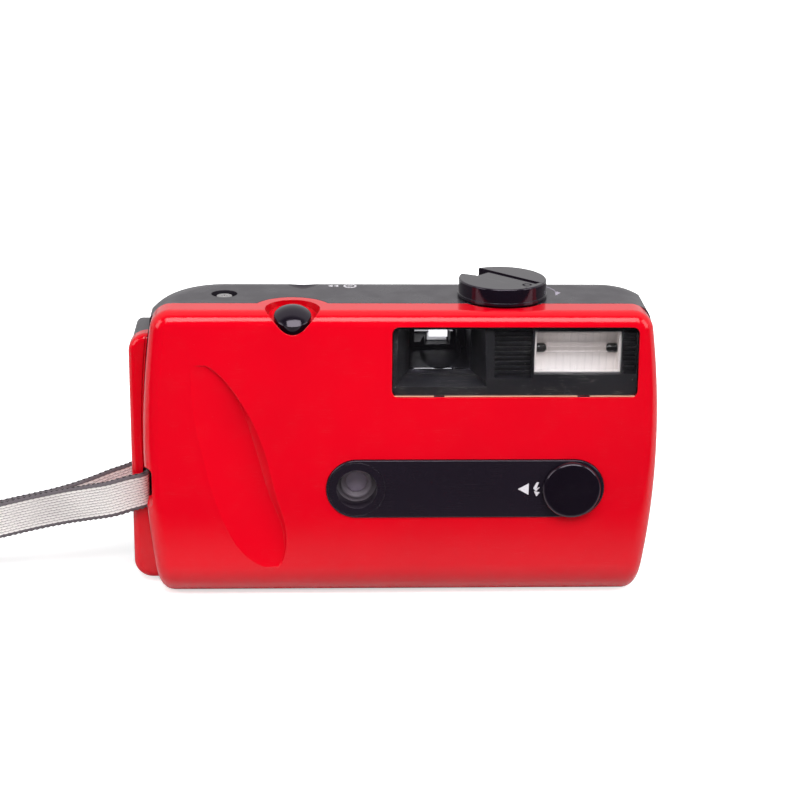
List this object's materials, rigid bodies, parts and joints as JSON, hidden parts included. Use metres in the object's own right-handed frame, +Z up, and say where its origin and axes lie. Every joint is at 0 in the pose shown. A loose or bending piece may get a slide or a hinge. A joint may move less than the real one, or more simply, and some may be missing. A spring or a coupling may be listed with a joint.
{
  "type": "compact film camera",
  "caption": "Compact 35 mm film camera with a bowed glossy front shell, black top and back, flash and finder window, sliding flash switch, rewind crank and woven wrist strap.",
  "frame": {"origin": "centre of the footprint of the camera without its strap, on the surface that it stands on", "axes": "+Z up, the lens looks along -Y, +X to the right when the camera is seen from the front; the strap reaches out along -X"},
  "size_m": [0.2558, 0.039, 0.0709],
  "materials": {
    "red_shell": "smooth gloss",
    "black_shell": "fine texture, satin",
    "inner_black": "matt",
    "plate_black": "satin",
    "knob_black": "gloss",
    "control_black": "moulded",
    "gear_white": "moulded",
    "dial_white": "moulded",
    "clear_pane": "clear",
    "optic": "polished",
    "tube_glass": "clear",
    "reflector": "bright",
    "steel": "plain",
    "plate_steel": "black, fine satin",
    "shutter_metal": "matt black",
    "contact": "plated",
    "screw": "black oxide",
    "brass": "turned",
    "board": "laminate",
    "capacitor_sleeve": "sleeved",
    "winding": "taped winding",
    "foam": "foam",
    "lamp": "clear red",
    "webbing": "woven"
  },
  "bodies": {
    "camera": {"front_cover": "red_shell", "top_cover": "black_shell", "rear_cover": "black_shell", "side_cover": "red_shell", "hinge_pin": "steel", "chassis": "inner_black", "window_frame": "inner_black", "front_window": "clear_pane", "lens_plate": "plate_black", "lens_barrel": "inner_black", "front_lens": "optic", "rear_lens": "optic", "shutter_plate": "shutter_metal", "finder_tube": "inner_black", "finder_front_lens": "optic", "eyepiece_frame": "black_shell", "finder_eyepiece": "optic", "flash_reflector": "reflector", "flash_tube": "tube_glass", "flash_lens": "clear_pane", "circuit_board": "board", "main_capacitor": "capacitor_sleeve", "transformer": "winding", "trigger_coil": "winding", "button_spring": "steel", "counter_window": "clear_pane", "ready_lamp": "lamp", "battery_contacts": "contact", "release_spring": "steel", "tripod_socket": "brass", "case_screws": "screw", "wrist_strap": "webbing"},
    "door": {"back_door": "black_shell", "film_window": "clear_pane", "light_seals": "foam", "pressure_spring": "steel"},
    "pressure": {"pressure_plate": "plate_steel"},
    "latch": {"door_latch": "control_black"},
    "switch": {"flash_switch": "knob_black"},
    "button": {"shutter_button": "knob_black"},
    "blade": {"shutter_blade": "plate_steel"},
    "wheel": {"advance_wheel": "control_black", "sprocket": "control_black"},
    "idler": {"idler_gear": "gear_white"},
    "spool": {"take_up_spool": "control_black", "spool_gear": "gear_white"},
    "dial": {"counter_dial": "dial_white"},
    "rewind_collar": {"rewind_collar": "inner_black"},
    "rewind_knob": {"rewind_knob": "knob_black", "rewind_shaft": "steel", "crank_pin": "steel"},
    "crank": {"crank_lever": "knob_black"},
    "battery_door": {"battery_door": "black_shell", "door_contact": "contact"},
    "release": {"release_button": "control_black"}
  },
  "joints": [
    {"name": "back_door_hinge", "type": "hinge", "parent": "camera", "child": "door", "pos_m": [-0.053, 0.017, 0.0264], "axis": [0, 0, 1], "range_deg": [0, 115]},
    {"name": "pressure_slide", "type": "slide", "parent": "door", "child": "pressure", "axis": [0, 1, 0], "range_m": [0, 0.0005], "stiffness_N_per_m": 300, "springref_m": -0.0005, "deforming": ["pressure_spring"]},
    {"name": "latch_slide", "type": "slide", "parent": "camera", "child": "latch", "axis": [1, 0, 0], "range_m": [0, 0.003], "stiffness_N_per_m": 300, "springref_m": -0.001},
    {"name": "flash_switch_slide", "type": "slide", "parent": "camera", "child": "switch", "axis": [-1, 0, 0], "range_m": [0, 0.0045]},
    {"name": "shutter_press", "type": "slide", "parent": "camera", "child": "button", "axis": [0, 0.3746, -0.9272], "range_m": [0, 0.0012], "stiffness_N_per_m": 400, "springref_m": -0.0004, "deforming": ["button_spring"]},
    {"name": "shutter_blade_swing", "type": "hinge", "parent": "camera", "child": "blade", "pos_m": [-0.0023, -0.0078, 0.0322], "axis": [0, 1, 0], "range_deg": [0, 24]},
    {"name": "advance_turn", "type": "hinge", "parent": "camera", "child": "wheel", "pos_m": [-0.031, 0.00845, 0.0532], "axis": [0, 0, 1], "continuous": true},
    {"name": "idler_turn", "type": "hinge", "parent": "camera", "child": "idler", "pos_m": [-0.04004, 0.00673, 0.0516], "axis": [0, 0, 1], "continuous": true},
    {"name": "spool_turn", "type": "hinge", "parent": "camera", "child": "spool", "pos_m": [-0.04506, -0.00145, 0.0516], "axis": [0, 0, 1], "continuous": true},
    {"name": "counter_turn", "type": "hinge", "parent": "camera", "child": "dial", "pos_m": [-0.0125, 0.0096, 0.0532], "axis": [0, 0, 1], "continuous": true},
    {"name": "rewind_lift", "type": "slide", "parent": "camera", "child": "rewind_collar", "axis": [0, 0, 1], "range_m": [0, 0.006]},
    {"name": "rewind_turn", "type": "hinge", "parent": "rewind_collar", "child": "rewind_knob", "pos_m": [0.0242, -0.0008, 0.0671], "axis": [0, 0, 1], "continuous": true},
    {"name": "crank_fold", "type": "hinge", "parent": "rewind_knob", "child": "crank", "pos_m": [0.0296, -0.00586, 0.06995], "axis": [0.6984, 0.7157, 0], "range_deg": [0, 95]},
    {"name": "battery_door_hinge", "type": "hinge", "parent": "camera", "child": "battery_door", "pos_m": [0.0524, 0.004, 0.0009], "axis": [0, -1, 0], "range_deg": [0, 100]},
    {"name": "release_press", "type": "slide", "parent": "camera", "child": "release", "axis": [0, 0, 1], "range_m": [0, 0.0012], "stiffness_N_per_m": 300, "springref_m": -0.0005, "deforming": ["release_spring"]}
  ],
  "couplings": [
    {"joint": "idler_turn", "follows": "advance_turn", "ratio": -1.3},
    {"joint": "spool_turn", "follows": "advance_turn", "ratio": 0.92857},
    {"joint": "counter_turn", "follows": "advance_turn", "ratio": -0.038462},
    {"joint": "shutter_blade_swing", "follows": "shutter_press", "rad_per_m": 349.07}
  ]
}
